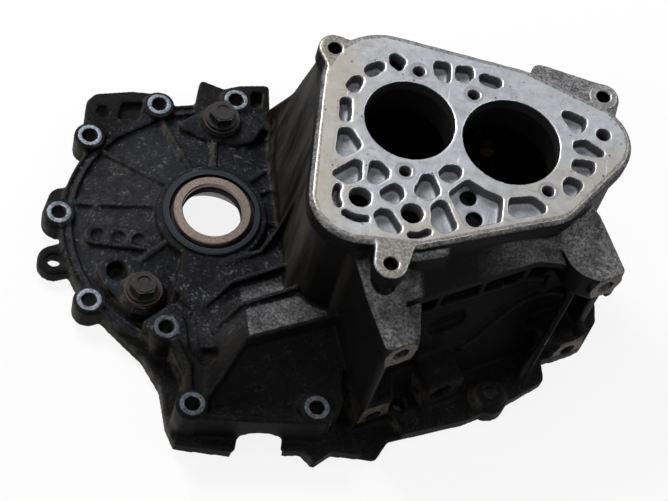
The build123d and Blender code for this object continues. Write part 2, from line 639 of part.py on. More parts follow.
    # Bolt holes, plug holes and dimples.
    for x, y, top in ALL_BOLTS:
        post([(x, y)], BOLT_HOLE / 2, -1, top + 1, Mode.SUBTRACT)
    post([(-92.5, 80.0), (-102.8, -48.5)], 5.0, -1, 40, Mode.SUBTRACT)
    post([PLUG_A, PLUG_B], PLUG_SHANK / 2, -1, PLUG_SEAT + 1, Mode.SUBTRACT)
    post([(-57, -55)], 7.6, 15, 40, Mode.SUBTRACT)
    for spot, floor in (((-76, -27), 18), ((-61, -28), 22), ((-47, -29), 26)):
        post([spot], 5.0, floor, 40, Mode.SUBTRACT)
    post(
        [EAR_LEFT, EAR_RIGHT, COVER_HOLE], BOLT_HOLE / 2,
        PLATE_UNDERSIDE - 12, CASE_HEIGHT + 1, Mode.SUBTRACT,
    )
    post([EAR_FRONT], BOLT_HOLE / 2, PLATE_UNDERSIDE - 1, CASE_HEIGHT + 1, Mode.SUBTRACT)
    for along, height in PAD_SPOTS:
        with BuildSketch(face_plane(along, height, BRACKET_OFFSET + 1)) as pad_hole:
            Circle(PAD_HOLE / 2)
        extrude(pad_hole.sketch, amount=-PAD_HOLE_DEPTH - 1, mode=Mode.SUBTRACT)
    with BuildSketch(face_plane(PORT_ALONG, PORT_HEIGHT, PORT_OUT + 1)) as port_bore:
        Circle(PORT_BORE / 2)
    extrude(port_bore.sketch, amount=-60, mode=Mode.SUBTRACT)
    with BuildSketch(idler_plane) as idler_bore:
        Circle(IDLER_SHANK / 2)
    extrude(idler_bore.sketch, amount=60, both=True, mode=Mode.SUBTRACT)
    # Arch in the front wall over the joint face.
    with BuildSketch(Plane((DIFF_X + 62, DIFF_Y - 185, 2), x_dir=(1, 0, 0), z_dir=(0, -1, 0))) as arch:
        Circle(17.5)
    extrude(arch.sketch, amount=-58, mode=Mode.SUBTRACT)

gearbox_housing.part.label = "gearbox_housing"
export_step(gearbox_housing.part, "parts/gearbox_housing.step")


# ======================================================================
# Differential oil seal, from the outside in
# ======================================================================
SEAL_CASE_BORE = SEAL_BORE / 2 - 2.0
SEAL_FLANGE = SEAL_BORE / 2 + 2.4
RUBBER_BORE = SEAL_CASE_BORE - 3.0
LIP_BORE = RUBBER_BORE - 6.65  # rides on the drive flange
DUST_NECK = LIP_BORE + 3.05
GARTER_RADIUS = LIP_BORE + 4.05
GARTER_WIRE = 0.9
GARTER_HEIGHT = SEAL_SEAT + 2.0

with BuildPart() as seal_case:
    # Pressed steel ring with a flange that seats on the cover boss.
    spun(
        [
            (SEAL_CASE_BORE, SEAL_SEAT + 0.5), (SEAL_BORE / 2, SEAL_SEAT + 0.5),
            (SEAL_BORE / 2, SEAL_BOSS_TOP), (SEAL_FLANGE, SEAL_BOSS_TOP), (SEAL_FLANGE, SEAL_BOSS_TOP + 2),
            (SEAL_FLANGE - 1, SEAL_BOSS_TOP + 2.6), (SEAL_CASE_BORE, SEAL_BOSS_TOP + 2.6),
        ]
    )
seal_case.part.label = "seal_case"
export_step(seal_case.part, "parts/seal_case.step")

with BuildPart() as seal_rubber:
    # Body bonded inside the case, with the sprung oil lip reaching for the drive flange.
    spun(
        [
            (RUBBER_BORE, SEAL_SEAT + 5), (RUBBER_BORE, SEAL_SEAT + 3), (RUBBER_BORE - 1, SEAL_SEAT + 2),
            (LIP_BORE + 1.85, SEAL_SEAT + 2), (LIP_BORE, SEAL_SEAT + 3.4), (LIP_BORE + 2.25, SEAL_SEAT + 5),
        ]
    )
    spun(
        [
            (RUBBER_BORE, SEAL_SEAT + 1.5), (SEAL_CASE_BORE, SEAL_SEAT + 1.5),
            (SEAL_CASE_BORE, SEAL_BOSS_TOP - 1), (SEAL_CASE_BORE - 1.5, SEAL_BOSS_TOP - 2),
            (RUBBER_BORE, SEAL_BOSS_TOP - 2),
        ]
    )
    with Locations((DIFF_X, DIFF_Y, GARTER_HEIGHT)):
        Torus(GARTER_RADIUS, GARTER_WIRE, mode=Mode.SUBTRACT)
seal_rubber.part.label = "seal_rubber"
export_step(seal_rubber.part, "parts/seal_rubber.step")

with BuildPart() as garter_spring:
    # Spring lying in the groove behind the lip.
    with Locations((DIFF_X, DIFF_Y, GARTER_HEIGHT)):
        Torus(GARTER_RADIUS, GARTER_WIRE)
garter_spring.part.label = "garter_spring"
export_step(garter_spring.part, "parts/garter_spring.step")

with BuildPart() as seal_dust_ring:
    # Brown bonded ring that stands proud of the case.
    spun(
        [
            (DUST_NECK, SEAL_SEAT + 5), (RUBBER_BORE, SEAL_SEAT + 5), (RUBBER_BORE, SEAL_BOSS_TOP + 3.6),
            (RUBBER_BORE - 0.8, SEAL_BOSS_TOP + 4.4), (LIP_BORE + 0.8, SEAL_BOSS_TOP + 4.4),
            (LIP_BORE, SEAL_BOSS_TOP + 3.6), (LIP_BORE, SEAL_BOSS_TOP + 1), (DUST_NECK, SEAL_BOSS_TOP + 1),
        ]
    )
seal_dust_ring.part.label = "seal_dust_ring"
export_step(seal_dust_ring.part, "parts/seal_dust_ring.step")

# ======================================================================
# Differential bearing seat
# ======================================================================
with BuildPart() as bearing_race:
    # Tapered outer race left in its seat.
    spun(
        [
            (RACE_BORE / 2 - 4.5, RACE_LOW), (RACE_BORE / 2 - 1.2, RACE_LOW), (RACE_BORE / 2, RACE_LOW + 1.2),
            (RACE_BORE / 2, RACE_SEAT_TOP - SHIM_THICK), (RACE_BORE / 2 - 7.4, RACE_SEAT_TOP - SHIM_THICK),
        ]
    )
bearing_race.part.label = "bearing_race"
export_step(bearing_race.part, "parts/bearing_race.step")

with BuildPart() as preload_shim:
    # Shim between the race and its shoulder.
    spun(
        [
            (SHIM_BORE, RACE_SEAT_TOP - SHIM_THICK), (RACE_BORE / 2, RACE_SEAT_TOP - SHIM_THICK),
            (RACE_BORE / 2, RACE_SEAT_TOP), (SHIM_BORE, RACE_SEAT_TOP),
        ]
    )
preload_shim.part.label = "preload_shim"
export_step(preload_shim.part, "parts/preload_shim.step")


# ======================================================================
# Plugs and the reverse idler bolt
# ======================================================================
def seat_ring(plane, thick):
    """Flat sealing washer on a plane."""
    with BuildSketch(plane) as ring:
        Circle(WASHER_DIAMETER / 2)
        Circle(PLUG_SHANK / 2 + 0.3, mode=Mode.SUBTRACT)
    extrude(ring.sketch, amount=thick)


def hex_plug(plane, shank, length):
    """Flanged hexagon plug: the plane is the washer face, the shank runs back behind it."""
    top = HEX_FLANGE_THICK + HEX_HEIGHT
    with BuildSketch(plane) as flange:
        Circle(HEX_FLANGE / 2)
    extrude(flange.sketch, amount=HEX_FLANGE_THICK)
    with BuildSketch(plane.offset(HEX_FLANGE_THICK)) as hexagon:
        RegularPolygon(HEX_FLATS / 2, 6, major_radius=False, rotation=20)
    extrude(hexagon.sketch, amount=HEX_HEIGHT)
    with BuildSketch(plane.offset(top)) as crown:
        Circle(HEX_FLATS / 2 - 0.8)
    extrude(crown.sketch, amount=0.6)
    with BuildSketch(plane.offset(top - 0.4)) as dish:
        Circle(5)
    extrude(dish.sketch, amount=2, mode=Mode.SUBTRACT)
    with BuildSketch(plane) as stem:
        Circle(shank / 2)
    extrude(stem.sketch, amount=-length)


def seat_plane(spot, height):
    return Plane((DIFF_X + spot[0], DIFF_Y + spot[1], height))


with BuildPart() as upper_plug_washer:
    seat_ring(seat_plane(PLUG_A, PLUG_SEAT), WASHER_THICK)
upper_plug_washer.part.label = "upper_plug_washer"
export_step(upper_plug_washer.part, "parts/upper_plug_washer.step")

with BuildPart() as upper_plug:
    hex_plug(seat_plane(PLUG_A, PLUG_SEAT + WASHER_THICK), PLUG_SHANK, 20)
upper_plug.part.label = "upper_plug"
export_step(upper_plug.part, "parts/upper_plug.step")

with BuildPart() as lower_plug_washer:
    seat_ring(seat_plane(PLUG_B, PLUG_SEAT), WASHER_THICK)
lower_plug_washer.part.label = "lower_plug_washer"
export_step(lower_plug_washer.part, "parts/lower_plug_washer.step")

with BuildPart() as lower_plug:
    hex_plug(seat_plane(PLUG_B, PLUG_SEAT + WASHER_THICK), PLUG_SHANK, 18)
lower_plug.part.label = "lower_plug"
export_step(lower_plug.part, "parts/lower_plug.step")

with BuildPart() as reverse_idler_bolt:
    # Its head bears on the boss outside the back wall, its tip shows inside the case.
    hex_plug(idler_plane.offset(20), IDLER_SHANK, 27)
reverse_idler_bolt.part.label = "reverse_idler_bolt"
export_step(reverse_idler_bolt.part, "parts/reverse_idler_bolt.step")
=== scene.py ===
# %% [markdown]
# # Gearbox housing
# A used, oily die-cast gear case stripped of its shafts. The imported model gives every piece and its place;
# this file rounds the casting's edges, gives each piece its finish, and lights it on a plain pale floor.

# %% Frame
import bpy
import bmesh
import math
import numpy as np
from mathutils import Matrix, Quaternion, Vector


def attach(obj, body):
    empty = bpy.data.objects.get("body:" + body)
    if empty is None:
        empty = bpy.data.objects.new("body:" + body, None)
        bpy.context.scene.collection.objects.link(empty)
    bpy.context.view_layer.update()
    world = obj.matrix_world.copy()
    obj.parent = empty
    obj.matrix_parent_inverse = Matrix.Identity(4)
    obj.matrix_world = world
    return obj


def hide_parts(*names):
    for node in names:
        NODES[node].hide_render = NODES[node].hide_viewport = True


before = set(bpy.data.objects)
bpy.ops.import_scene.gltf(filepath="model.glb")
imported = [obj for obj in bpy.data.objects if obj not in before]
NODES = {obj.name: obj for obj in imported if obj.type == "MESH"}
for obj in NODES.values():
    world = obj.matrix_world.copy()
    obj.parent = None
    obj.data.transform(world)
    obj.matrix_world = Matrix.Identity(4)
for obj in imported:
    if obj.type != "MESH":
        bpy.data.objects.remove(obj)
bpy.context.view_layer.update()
MM = 0.001
print("pieces:", sorted(NODES))

# %% [markdown]
# ## Where things are
# Plan positions are measured from the differential axis, in millimetres, as in the drawing of the case.

# %% Key positions
DIFF_X, DIFF_Y = -87.2, 19.3
CASE_TOP = 160.0
PLATE_UNDERSIDE = 143.0
POCKET_FLOOR = 151.0
TERRACES = (50.0, 63.0)
OUT = (115.7, 28.6)
INP = (186.6, 28.5)
OUT_BORE, INP_BORE = 31.0, 33.65  # radii
RAIL = (89.7, -40.2)
BRACKET_TURN = math.radians(31.84)
BRACKET_OFFSET = 177.7
# Round corners of the end plate: plan position and radius.
PLATE_CORNERS = [
    (*RAIL, 32.0),
    (OUT[0] - 17.7, OUT[1] + 22.4, 44.0),
    (INP[0] + 1.4, INP[1] + 37.5, 24.0),
    (INP[0] + 52.4, INP[1] + 15.5, 30.0),
    (INP[0] + 27.4, INP[1] - 32.5, 24.0),
    (OUT[0] + 12.3, OUT[1] - 80.6, 16.0),
]
# Bolt spot faces: plan position and height. The last two lie low and stay dark.
SPOT_FACES = [
    (-97.6, 53.5, 23), (-53.0, 93.1, 23), (2.3, 111.4, 23), (-106.6, -14.0, 20), (-72.2, -79.0, 20),
    (-16.0, -97.0, 37), (11.0, -154.0, 43), (94.8, -138.5, 43), (155.0, -108.5, 14), (218.0, -88.0, 20),
]
BRIGHT_SPOT_FACES = 8
LOW_BOLT = SPOT_FACES[8]
TAPPED_SPOTS = [
    (OUT[0] + 1.7, OUT[1] + 41.7), (OUT[0] + 41.4, OUT[1] + 32.0),
    (OUT[0] + 1.3, OUT[1] - 41.4), (INP[0] + 28.2, INP[1] - 33.3),
]
# Pads of the bracket face: distance along it and height.
PAD_SPOTS = [(51.0, 113.0), (209.2, 113.0), (51.0, 18.0), (209.2, 18.0)]


def at(x, y, z):
    """A point from the differential axis in millimetres, as a vector in metres."""
    return Vector(((DIFF_X + x) * MM, (DIFF_Y + y) * MM, z * MM))


def turned(x, y):
    """Plan position along the bracket face and out from it."""
    c, s = math.cos(BRACKET_TURN), math.sin(BRACKET_TURN)
    return x * c + y * s, x * s - y * c


print("output bore centre:", [round(v, 3) for v in at(*OUT, CASE_TOP)])

# %% [markdown]
# ## Rounding the casting
# The drawing has sharp corners where a die casting has soft ones. The casting is made again as an even skin
# of small squares, and each point is averaged with its neighbours. Machined places are held still.

# %% Where the casting stays crisp
SEAL_BOSS_RIM = (41.5, 44.0)
SPOT_FACE_RIM = (9.2, 10.5)
PAD_RIM = (12.0, 14.0)
END_FACE_RIM = (CASE_TOP - 3.5, CASE_TOP - 1.8)
JOINT_FACE_RIM = (0.6, 2.0)


def fade(value, low, high):
    """0 below `low`, 1 above `high`, for whole arrays."""
    return np.clip((value - low) / (high - low), 0.0, 1.0)


def softness(points):
    """How far each point may be smoothed: near 0 on machined faces, 1 on the rough casting."""
    x, y, z = points.T / MM
    x, y = x - DIFF_X, y - DIFF_Y
    soft = 1.0 - 0.85 * fade(z, *END_FACE_RIM)
    soft *= 0.15 + 0.85 * fade(np.hypot(x, y), *SEAL_BOSS_RIM)
    for spot_x, spot_y, top in SPOT_FACES:
        beside = fade(np.hypot(x - spot_x, y - spot_y), *SPOT_FACE_RIM)
        below = fade(top - 2.0 - z, 0.0, 1.0)
        soft *= 0.1 + 0.9 * np.maximum(beside, below)
    along, out = turned(x, y)
    for pad_along, pad_height in PAD_SPOTS:
        beside = fade(np.hypot(along - pad_along, z - pad_height), *PAD_RIM)
        behind = fade(BRACKET_OFFSET - 2.0 - out, 0.0, 1.0)
        soft *= 0.15 + 0.85 * np.maximum(beside, behind)
    soft *= 0.1 + 0.9 * fade(z, *JOINT_FACE_RIM)
    return soft


# %% Softening tree
def softening_tree():
    """Geometry nodes that average each point with its neighbours, as far as `softness` lets it."""
    tree = bpy.data.node_groups.new("soften_casting", "GeometryNodeTree")
    tree.interface.new_socket("Geometry", in_out="INPUT", socket_type="NodeSocketGeometry")
    tree.interface.new_socket("Passes", in_out="INPUT", socket_type="NodeSocketInt")
    tree.interface.new_socket("Geometry", in_out="OUTPUT", socket_type="NodeSocketGeometry")
    start, end = tree.nodes.new("NodeGroupInput"), tree.nodes.new("NodeGroupOutput")
    place = tree.nodes.new("GeometryNodeInputPosition")
    named = tree.nodes.new("GeometryNodeInputNamedAttribute")
    named.data_type = "FLOAT"
    named.inputs["Name"].default_value = "softness"
    blur = tree.nodes.new("GeometryNodeBlurAttribute")
    blur.data_type = "FLOAT_VECTOR"
    value_in = next(i for i in blur.inputs if i.name == "Value" and i.enabled)
    value_out = next(o for o in blur.outputs if o.enabled)
    moved = tree.nodes.new("GeometryNodeSetPosition")
    link = tree.links.new
    link(place.outputs[0], value_in)
    link(start.outputs["Passes"], blur.inputs["Iterations"])
    link(named.outputs["Attribute"], blur.inputs["Weight"])
    link(start.outputs["Geometry"], moved.inputs["Geometry"])
    link(value_out, moved.inputs["Position"])
    link(moved.outputs[0], end.inputs["Geometry"])
    return tree


def applied(piece):
    """Turns a piece's modifiers into plain mesh and removes them."""
    depsgraph = bpy.context.evaluated_depsgraph_get()
    mesh = bpy.data.meshes.new_from_object(piece.evaluated_get(depsgraph), depsgraph=depsgraph)
    piece.modifiers.clear()
    piece.data = mesh
    return mesh


def rounded_casting(node, skin=1.1, passes=4, triangles=190000):
    """A softened copy of the casting, as a new piece that stands for its node."""
    piece = bpy.data.objects.new("housing_casting", node.data.copy())
    bpy.context.scene.collection.objects.link(piece)
    remesh = piece.modifiers.new("skin", "REMESH")
    remesh.mode = "VOXEL"
    remesh.voxel_size = skin * MM
    mesh = applied(piece)
    points = np.empty(len(mesh.vertices) * 3)
    mesh.vertices.foreach_get("co", points)
    weights = mesh.attributes.new("softness", "FLOAT", "POINT")
    weights.data.foreach_set("value", softness(points.reshape(-1, 3)))
    soften = piece.modifiers.new("soften", "NODES")
    soften.node_group = softening_tree()
    sockets = soften.node_group.interface.items_tree
    soften[next(i.identifier for i in sockets if i.name == "Passes")] = passes
    mesh = applied(piece)
    fewer = piece.modifiers.new("fewer", "DECIMATE")
    fewer.ratio = triangles / (2 * len(mesh.polygons))
    mesh = applied(piece)
    mesh.attributes.remove(mesh.attributes["softness"])
    even = piece.modifiers.new("even_shading", "WEIGHTED_NORMAL")
    even.keep_sharp = True
    even.weight = 50
    mesh.polygons.foreach_set("use_smooth", [True] * len(mesh.polygons))
    mesh = applied(piece)
    print("rounded casting triangles:", len(mesh.polygons))
    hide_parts("gearbox_housing")
    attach(piece, "root")
    return piece


casting = rounded_casting(NODES["gearbox_housing"])

# %% [markdown]
# ## Shader arithmetic
# Values in a material are added, scaled and compared with ordinary signs. Each sign adds one node.

# %% Value class
class Val:
    """A number or colour coming out of a node, which can be used in sums."""

    def __init__(self, mat, socket):
        self.mat, self.socket = mat, socket

    def _math(self, op, a, b=None, clamp=False):
        node = self.mat.tree.nodes.new("ShaderNodeMath")
        node.operation = op
        node.use_clamp = clamp
        for slot, value in zip(node.inputs, (a, b)):
            if value is not None:
                self.mat.put(slot, value)
        return Val(self.mat, node.outputs[0])

    def __add__(self, other):
        return self._math("ADD", self, other)

    def __sub__(self, other):
        return self._math("SUBTRACT", self, other)

    def __mul__(self, other):
        return self._math("MULTIPLY", self, other)

    def __truediv__(self, other):
        return self._math("DIVIDE", self, other)

    def __pow__(self, other):
        return self._math("POWER", self, other)

    def __radd__(self, other):
        return self._math("ADD", other, self)

    def __rsub__(self, other):
        return self._math("SUBTRACT", other, self)

    def __rmul__(self, other):
        return self._math("MULTIPLY", other, self)

    def __gt__(self, other):
        return self._math("GREATER_THAN", self, other)

    def most(self, other):
        """The larger of two values."""
        return self._math("MAXIMUM", self, other)

    def least(self, other):
        """The smaller of two values."""
        return self._math("MINIMUM", self, other)

    def size(self):
        """Without its sign."""
        return self._math("ABSOLUTE", self)

    def held(self):
        """Kept between 0 and 1."""
        return self._math("ADD", self, 0.0, clamp=True)

    def ramp(self, low, high):
        """0 below `low`, 1 above `high`, a straight line between."""
        return ((self - low) / (high - low)).held()

    def band(self, low, high, soft):
        """1 between `low` and `high`, fading over `soft` outside them."""
        return self.ramp(low - soft, low) * (1.0 - self.ramp(high, high + soft))


# %% [markdown]
# ## Materials
# One class builds every finish. `node` adds any shader node with its settings and input values.

# %% Finish class
class Finish:
    """A procedural material for one kind of surface on this case."""

    def __init__(self, name):
        self.material = bpy.data.materials.new(name)
        self.material.use_nodes = True
        self.tree = self.material.node_tree
        self.tree.nodes.clear()
        output = self.tree.nodes.new("ShaderNodeOutputMaterial")
        self.shader = self.tree.nodes.new("ShaderNodeBsdfPrincipled")
        self.tree.links.new(self.shader.outputs[0], output.inputs[0])
        where = self.tree.nodes.new("ShaderNodeTexCoord")
        self.place = Val(self, where.outputs["Object"])

    def put(self, slot, value):
        """A value, a Val or a colour goes into an input socket."""
        if isinstance(value, Val):
            self.tree.links.new(value.socket, slot)
        elif isinstance(value, tuple):
            slot.default_value = (*value, 1.0)
        else:
            slot.default_value = value

    def node(self, kind, out=0, settings=None, **values):
        """Adds a node, sets its settings and named inputs, and returns one output."""
        node = self.tree.nodes.new("ShaderNode" + kind)
        for key, value in (settings or {}).items():
            setattr(node, key, value)
        for key, value in values.items():
            self.put(node.inputs[key.replace("_", " ")], value)
        return Val(self, node.outputs[out])

    def noise(self, scale, detail=3.0, rough=0.5, stretch=None):
        """Even noise from 0 to 1 at so many cells a metre, drawn out where `stretch` is small."""
        place = self.place
        if stretch:
            place = self.node("Mapping", 0, Vector=self.place, Scale=Vector(stretch))
        return self.node("TexNoise", 0, Vector=place, Scale=scale, Detail=detail, Roughness=rough)

    def cells(self, scale):
        """Distance to the nearest of many scattered points."""
        return self.node("TexVoronoi", 0, Vector=self.place, Scale=scale)

    def mix(self, share, low, high):
        """Blend of two colours."""
        node = self.tree.nodes.new("ShaderNodeMix")
        node.data_type = "RGBA"
        self.put(node.inputs["Factor"], share)
        self.put(node.inputs[6], low)
        self.put(node.inputs[7], high)
        return Val(self, node.outputs[2])

    def between(self, share, low, high):
        """Blend of two numbers."""
        return low + (high - low) * share

    def split(self, vector=None):
        """The x, y and z of a position or direction."""
        node = self.tree.nodes.new("ShaderNodeSeparateXYZ")
        self.tree.links.new((vector or self.place).socket, node.inputs[0])
        return [Val(self, o) for o in node.outputs]

    def facing(self):
        """The surface's own direction, x, y and z."""
        node = self.tree.nodes.new("ShaderNodeNewGeometry")
        return self.split(Val(self, node.outputs["Normal"]))

    def edges(self, radius):
        """Above 0 on sharp edges and corners, where rubbing wears them bright; on the casting's upward crests
        it also carries a painted highlight.
        """
        bevel = self.tree.nodes.new("ShaderNodeBevel")
        bevel.samples = 6
        bevel.inputs["Radius"].default_value = radius
        flat = self.tree.nodes.new("ShaderNodeNewGeometry")
        dot = self.tree.nodes.new("ShaderNodeVectorMath")
        dot.operation = "DOT_PRODUCT"
        self.tree.links.new(bevel.outputs[0], dot.inputs[0])
        self.tree.links.new(flat.outputs["Normal"], dot.inputs[1])
        return (1.0 - Val(self, dot.outputs["Value"])).held()

    def round_spot(self, spots, radius, soft):
        """1 inside any of some upright cylinders, in millimetres."""
        x, y, _ = self.split()
        total = None
        for spot_x, spot_y in spots:
            centre = at(spot_x, spot_y, 0)
            dx, dy = x - centre.x, y - centre.y
            inside = 1.0 - ((dx * dx + dy * dy) ** 0.5).ramp((radius - soft) * MM, (radius + soft) * MM)
            total = inside if total is None else total.most(inside)
        return total

    def bump(self, height, strength, distance):
        """A surface direction tilted by a height."""
        node = self.tree.nodes.new("ShaderNodeBump")
        node.inputs["Strength"].default_value = strength
        node.inputs["Distance"].default_value = distance
        self.put(node.inputs["Height"], height)
        return Val(self, node.outputs[0])

    def surface(self, **values):
        """Sets the shader's sockets by name and returns the material."""
        for key, value in values.items():
            self.put(self.shader.inputs[key.replace("_", " ")], value)
        return self.material


def paint(node, material):
    """Gives a whole piece one finish."""
    node.data.materials.clear()
    node.data.materials.append(material)


# %% [markdown]
# ## Cast aluminium
# Dark oil film, darkened further as painted shade, over a speckled grey skin. Upward faces are paler, partly
# drier skin and partly painted light from above; the machined levels are bright.

# %% End plate outline
CORNER_STEP = 25.0  # degrees between the tangents drawn round a corner


def plate_sides():
    """Half-planes round the end plate: its straight sides, and a few more round each corner."""
    def reaching(turn):
        way_x, way_y = math.cos(math.radians(turn)), math.sin(math.radians(turn))
        reaches = [way_x * x + way_y * y + radius for x, y, radius in PLATE_CORNERS]
        return way_x, way_y, max(reaches), reaches.index(max(reaches))

    straight = [turn for turn in range(360) if reaching(turn)[3] != reaching(turn - 1)[3]]
    sides = []
    for start, end in zip(straight, straight[1:] + [straight[0] + 360]):
        steps = math.ceil((end - start) / CORNER_STEP)
        sides += [reaching(start + (end - start) * k / steps)[:3] for k in range(steps)]
    return sides


print("end plate sides:", len(plate_sides()))

# %% Casting colours
# Oil colours, darker than the film itself as painted shade.
OIL_BLACK_AND_SHADE, OIL_FILM_AND_SHADE = (0.0018, 0.0017, 0.0017), (0.0055, 0.0052, 0.0050)
# The cover's paler colour is a painted sheen, a reflection painted into the colour.
COVER_DARK, COVER_PAINTED_SHEEN = (0.0015, 0.0016, 0.0020), (0.0125, 0.0135, 0.0175)
# Pale skin colours: partly drier cast skin, partly painted light on upward faces.
DRY_LIT_DARK, DRY_LIT_PALE = (0.055, 0.054, 0.055), (0.36, 0.36, 0.37)
SCUFF = (0.12, 0.125, 0.14)
# Crest colour: rubbed wear and a painted highlight.
WORN_EDGE_AND_HIGHLIGHT = (0.20, 0.205, 0.22)
# Side tones: painted light on faces turned to the left, on the wall with film runs too.
WALL_FILM_AND_SIDE_LIGHT = (0.055, 0.050, 0.042)
FLANGE_SIDE_LIGHT = (0.075, 0.068, 0.058)
MILLED_DARK, MILLED_PALE, MILLED_CLOUD = (0.24, 0.25, 0.27), (0.43, 0.45, 0.485), (0.46, 0.475, 0.50)
GASKET_STAIN = (0.33, 0.29, 0.225)
PIT = (0.06, 0.06, 0.06)
SCORE = (0.17, 0.17, 0.18)
SCRATCH = (0.68, 0.70, 0.74)
TAPPED_RING = (0.20, 0.20, 0.21)
RIM_DIRT = (0.125, 0.115, 0.10)
POCKET_DARK, POCKET_PALE = (0.27, 0.28, 0.305), (0.40, 0.415, 0.455)
OIL_RING = (0.15, 0.15, 0.165)
POCKET_WALL = (0.10, 0.10, 0.11)
# Bore wall colour: painted shade.
BORE_SHADE_BLACK = (0.005, 0.005, 0.005)
SPOT_FACE_CUT = (0.26, 0.29, 0.34)
PAD_DARK, PAD_PALE = (0.020, 0.016, 0.014), (0.105, 0.086, 0.072)


# %% Casting finish
class CastingFinish(Finish):
    """The casting's finish: oil film darkened as painted shade, painted light and a painted reflection on
    upward faces, and the machined faces, worked out from plan place, height and facing.
    """

    def __init__(self):
        super().__init__("cast_aluminium_oily")
        x, y, z = self.split()
        self.nx, self.ny, self.nz = self.facing()
        self.across, self.deep, self.high = (x / MM) - DIFF_X, (y / MM) - DIFF_Y, z / MM
        self.along, self.out = turned(self.across, self.deep)
        self.up = self.nz.ramp(0.25, 0.85)
        # Patterns, from the finest to the broadest.
        self.fine = self.noise(1100, 3, 0.6)
        self.grit = self.noise(480, 4, 0.65)
        self.blotch = self.noise(120, 4, 0.6)
        self.cloud = self.noise(42, 3, 0.55)
        self.broad = self.noise(14, 3, 0.5)
        # Zones that several parts of the finish share.
        from_seal = (self.across * self.across + self.deep * self.deep) ** 0.5
        self.cover = 1.0 - from_seal.ramp(100, 112)
        self.shoulder = self.high.ramp(150, 154)
        low_flat, high_flat = (self.high.band(top - 1.7, top + 1.7, 0.8) for top in TERRACES)
        left_front = (1.0 - self.deep.ramp(-40, -20)) * (1.0 - self.along.ramp(60, 80))
        self.terrace = low_flat.most(high_flat) * left_front * self.nz.ramp(0.95, 0.99)
        self.machined = (self.high > CASE_TOP - 0.35) * (self.nz > 0.8)

    def inside_plate(self, inset):
        """1 well inside the end plate's outline, where walls belong to pockets, not to the rim."""
        depth = None
        for way_x, way_y, reach in plate_sides():
            gap = reach - (self.across * way_x + self.deep * way_y)
            depth = gap if depth is None else depth.least(gap)
        return depth > inset

    def dryness_and_top_light(self):
        """The front and the ledge stay oil-dark; pale skin on upward faces of the right lump, the left roof,
        the slope under the plate, the terraces and the high shoulders, a trace on the cover: partly drier
        skin, partly painted light from above.
        """
        along, out, high = self.along, self.out, self.high
        below_plate = 1.0 - high.ramp(PLATE_UNDERSIDE, PLATE_UNDERSIDE + 3)
        right_lump = along.ramp(184, 190) * high.ramp(104, 112) * below_plate
        left_roof = (1.0 - along.ramp(76, 82)) * high.ramp(96, 112) * below_plate * out.ramp(96, 104)
        slope = high.ramp(114, 118) * below_plate * out.ramp(98, 104) * along.ramp(120, 160)
        dry_and_lit = (right_lump * 2.0).most(left_roof * 0.62).most(slope * 0.8).most(self.terrace * 0.62)
        dry_and_lit = dry_and_lit.most(self.cover * 0.05).most(0.02).most(self.shoulder * 1.5)
        # Only upward faces get it: painted light from above, on top of drier skin.
        return (dry_and_lit * self.up * (0.5 + self.cloud.ramp(0.3, 0.7))).held()

    def cast_skin(self, dry_and_lit):
        """Oil film darkened as painted shade, pale skin with painted light, a painted reflection on the
        cover, scuffs, and crests lightened by wear and by a painted highlight.
        """
        grit, blotch, broad = self.grit, self.blotch, self.broad
        # Oil colour, darkened further as painted shade.
        oily_and_shaded = self.mix(broad.ramp(0.35, 0.7), OIL_BLACK_AND_SHADE, OIL_FILM_AND_SHADE)
        # Painted sheen on the cover's upward faces.
        painted_sheen = broad.ramp(0.35, 0.65) * 0.7 + blotch.ramp(0.35, 0.7) * 0.3
        oily_and_shaded = self.mix(self.cover * self.up, oily_and_shaded, self.mix(painted_sheen, COVER_DARK, COVER_PAINTED_SHEEN))
        mottle = (self.fine * 0.4 + grit * 0.6).ramp(0.40, 0.62) * (0.35 + 0.65 * blotch.ramp(0.35, 0.65))
        # Pale skin over the oil: drier skin and painted light from above.
        colour = self.mix(dry_and_lit, oily_and_shaded, self.mix(mottle, DRY_LIT_DARK, DRY_LIT_PALE))
        open_cast = self.cover.most(self.terrace)
        scuff = (grit * 0.5 + blotch * 0.5).ramp(0.57, 0.68) * self.up * (0.12 + 0.88 * open_cast)
        colour = self.mix(scuff * 0.8, colour, SCUFF)
        # Upward crests lightened: wear and a painted highlight.
        worn_and_highlit = self.edges(0.0020).ramp(0.02, 0.14) * (0.3 + 0.7 * grit.ramp(0.35, 0.6))
        worn_and_highlit = worn_and_highlit * self.nz.ramp(-0.1, 0.5) * (0.2 + 0.75 * open_cast.most(self.shoulder))
        return self.mix(worn_and_highlit, colour, WORN_EDGE_AND_HIGHLIGHT)

    def wall_film_and_side_light(self, colour):
        """Brown-grey tone on faces turned to the left: on the left wall partly film in upright runs, partly
        painted light on the lit side; on the flange's side painted light in blotches.
        """
        facing_left = self.nx * -1.0
        runs = self.noise(60, 3, 0.6, stretch=(1, 1, 0.15))
        # Left wall tone: film runs, partly painted light on the lit left side.
        wall = facing_left.ramp(0.45, 0.9) * self.high.band(45, 140, 8) * (1.0 - self.out.ramp(100, 120))
        colour = self.mix(wall * runs.ramp(0.35, 0.65) * 0.6, colour, WALL_FILM_AND_SIDE_LIGHT)
        # Flange side tone: painted light, in blotches.
        flange = facing_left.ramp(0.2, 0.8) * (1.0 - self.high.ramp(24, 40))
        return self.mix(flange * self.blotch.ramp(0.35, 0.6) * 0.7, colour, FLANGE_SIDE_LIGHT)

